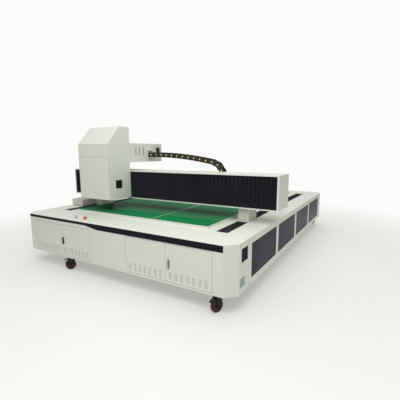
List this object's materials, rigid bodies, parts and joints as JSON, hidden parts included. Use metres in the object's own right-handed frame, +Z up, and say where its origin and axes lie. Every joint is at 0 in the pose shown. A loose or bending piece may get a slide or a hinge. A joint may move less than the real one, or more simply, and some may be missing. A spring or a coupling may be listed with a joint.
{
  "type": "glass laser engraving machine",
  "caption": "Floor-standing gantry laser engraver for sheet glass: low cabinet with a green bed, a travelling beam with bellows and a laser head.",
  "frame": {"origin": "on the floor under the middle of the base", "axes": "+X to the right seen from the door side, +Y to the back, +Z up"},
  "size_m": [3.074, 3.9769, 1.672],
  "materials": {
    "cover_paint": "gloss powder coat",
    "frame_paint": "grey primer",
    "black_trim": "gloss black trim",
    "bare_steel": "ground steel",
    "zinc_steel": "zinc plated",
    "mat_green": "gloss green mat",
    "smoked_pane": "smoked acrylic",
    "display_black": "gloss black",
    "grille_grey": "moulded",
    "collar_yellow": "moulded",
    "switch_grey": "satin",
    "magnet_track": "epoxy cover",
    "bellows_cloth": "coated pleated cloth",
    "anodised": "clear anodised",
    "chain_black": "moulded nylon",
    "caster_black": "black enamel",
    "wheel_rubber": "dark polyurethane",
    "stop_red": "gloss red"
  },
  "bodies": {
    "base": {"base_frame": "frame_paint", "deck": "cover_paint", "bed_table": "cover_paint", "mat_left": "mat_green", "mat_right": "mat_green", "front_fascia": "cover_paint", "front_stripe": "black_trim", "corner_panels": "cover_paint", "side_frame_left": "cover_paint", "side_frame_right": "cover_paint", "rear_panel": "cover_paint", "side_windows": "smoked_pane", "display_panel": "display_black", "vent_grille": "grille_grey", "stop_collar": "collar_yellow", "key_switch": "switch_grey", "y_rails": "bare_steel", "y_magnet_tracks": "magnet_track", "caster_plates": "zinc_steel", "slot_bellows_front": "bellows_cloth", "slot_bellows_rear": "bellows_cloth"},
    "gantry": {"gantry_beam": "cover_paint", "beam_caps": "cover_paint", "gantry_legs": "cover_paint", "y_carriages": "anodised", "cable_box": "cover_paint", "chain_tray": "cover_paint", "x_rails": "bare_steel", "x_magnet_track": "magnet_track", "beam_bellows_left": "bellows_cloth", "beam_bellows_right": "bellows_cloth", "drag_chain": "chain_black"},
    "head": {"x_carriage": "anodised", "head_housing": "cover_paint", "head_cover": "cover_paint", "laser_box": "cover_paint", "box_connector": "chain_black", "fan_grille": "chain_black"},
    "fan": {"fan_rotor": "chain_black"},
    "focus": {"focus_unit": "anodised"},
    "stop_button": {"stop_button": "stop_red"},
    "key": {"key": "bare_steel"},
    "door_1": {"door_leaf_1": "cover_paint"},
    "door_2": {"door_leaf_2": "cover_paint"},
    "door_3": {"door_leaf_3": "cover_paint"},
    "door_4": {"door_leaf_4": "cover_paint"},
    "latch_1": {"latch_1": "black_trim"},
    "latch_2": {"latch_2": "black_trim"},
    "caster_1": {"caster_fork_1": "caster_black"},
    "wheel_1": {"caster_wheel_1": "wheel_rubber"},
    "pedal_1": {"caster_pedal_1": "caster_black"},
    "caster_2": {"caster_fork_2": "caster_black"},
    "wheel_2": {"caster_wheel_2": "wheel_rubber"},
    "pedal_2": {"caster_pedal_2": "caster_black"},
    "caster_3": {"caster_fork_3": "caster_black"},
    "wheel_3": {"caster_wheel_3": "wheel_rubber"},
    "pedal_3": {"caster_pedal_3": "caster_black"},
    "caster_4": {"caster_fork_4": "caster_black"},
    "wheel_4": {"caster_wheel_4": "wheel_rubber"},
    "pedal_4": {"caster_pedal_4": "caster_black"}
  },
  "joints": [
    {"name": "gantry_travel", "type": "slide", "parent": "base", "child": "gantry", "axis": [0, 1, 0], "range_m": [-0.4, 2.1], "deforming": ["slot_bellows_front", "slot_bellows_rear"]},
    {"name": "head_travel", "type": "slide", "parent": "gantry", "child": "head", "axis": [1, 0, 0], "range_m": [-0.36, 1.6], "deforming": ["beam_bellows_left", "beam_bellows_right", "drag_chain"]},
    {"name": "focus_lift", "type": "slide", "parent": "head", "child": "focus", "axis": [0, 0, 1], "range_m": [-0.03, 0.08]},
    {"name": "fan_spin", "type": "hinge", "parent": "head", "child": "fan", "pos_m": [-0.4205, -1.346, 0.962], "axis": [1, 0, 0], "continuous": true},
    {"name": "stop_press", "type": "slide", "parent": "base", "child": "stop_button", "axis": [0, 0, -1], "range_m": [0, 0.005], "stiffness_N_per_m": 1500},
    {"name": "key_turn", "type": "hinge", "parent": "base", "child": "key", "pos_m": [-0.6, -1.86, 0.605], "axis": [0, 0, -1], "range_deg": [0, 90]},
    {"name": "door_1_swing", "type": "hinge", "parent": "base", "child": "door_1", "pos_m": [-1.23, -1.958, 0.175], "axis": [0, 0, -1], "range_deg": [0, 105]},
    {"name": "door_2_swing", "type": "hinge", "parent": "base", "child": "door_2", "pos_m": [-0.274, -1.958, 0.175], "axis": [0, 0, 1], "range_deg": [0, 105]},
    {"name": "door_3_swing", "type": "hinge", "parent": "base", "child": "door_3", "pos_m": [0.274, -1.958, 0.175], "axis": [0, 0, -1], "range_deg": [0, 105]},
    {"name": "door_4_swing", "type": "hinge", "parent": "base", "child": "door_4", "pos_m": [1.23, -1.958, 0.175], "axis": [0, 0, 1], "range_deg": [0, 105]},
    {"name": "latch_1_turn", "type": "hinge", "parent": "door_2", "child": "latch_1", "pos_m": [-0.7145, -1.965, 0.348], "axis": [0, 1, 0], "range_deg": [0, 90]},
    {"name": "latch_2_turn", "type": "hinge", "parent": "door_4", "child": "latch_2", "pos_m": [0.7895, -1.965, 0.348], "axis": [0, 1, 0], "range_deg": [0, 90]},
    {"name": "caster_1_swivel", "type": "hinge", "parent": "base", "child": "caster_1", "pos_m": [-0.626, -1.913, 0.15], "axis": [0, 0, 1], "continuous": true},
    {"name": "wheel_1_roll", "type": "hinge", "parent": "caster_1", "child": "wheel_1", "pos_m": [-0.66044, -1.92906, 0.06], "axis": [0.4226, -0.9063, 0], "continuous": true},
    {"name": "pedal_1_press", "type": "hinge", "parent": "caster_1", "child": "pedal_1", "pos_m": [-0.67131, -1.93413, 0.131], "axis": [-0.4226, 0.9063, 0], "range_deg": [0, 15]},
    {"name": "caster_2_swivel", "type": "hinge", "parent": "base", "child": "caster_2", "pos_m": [1.28, -1.895, 0.15], "axis": [0, 0, 1], "continuous": true},
    {"name": "wheel_2_roll", "type": "hinge", "parent": "caster_2", "child": "wheel_2", "pos_m": [1.267, -1.93071, 0.06], "axis": [0.9397, -0.342, 0], "continuous": true},
    {"name": "pedal_2_press", "type": "hinge", "parent": "caster_2", "child": "pedal_2", "pos_m": [1.2629, -1.94199, 0.131], "axis": [-0.9397, 0.342, 0], "range_deg": [0, 15]},
    {"name": "caster_3_swivel", "type": "hinge", "parent": "base", "child": "caster_3", "pos_m": [-1.28, 1.895, 0.15], "axis": [0, 0, 1], "continuous": true},
    {"name": "wheel_3_roll", "type": "hinge", "parent": "caster_3", "child": "wheel_3", "pos_m": [-1.31571, 1.908, 0.06], "axis": [-0.342, -0.9397, 0], "continuous": true},
    {"name": "pedal_3_press", "type": "hinge", "parent": "caster_3", "child": "pedal_3", "pos_m": [-1.32699, 1.9121, 0.131], "axis": [0.342, 0.9397, 0], "range_deg": [0, 15]},
    {"name": "caster_4_swivel", "type": "hinge", "parent": "base", "child": "caster_4", "pos_m": [1.28, 1.895, 0.15], "axis": [0, 0, 1], "continuous": true},
    {"name": "wheel_4_roll", "type": "hinge", "parent": "caster_4", "child": "wheel_4", "pos_m": [1.31113, 1.9168, 0.06], "axis": [-0.5736, 0.8192, 0], "continuous": true},
    {"name": "pedal_4_press", "type": "hinge", "parent": "caster_4", "child": "pedal_4", "pos_m": [1.32096, 1.92368, 0.131], "axis": [0.5736, -0.8192, 0], "range_deg": [0, 15]}
  ]
}
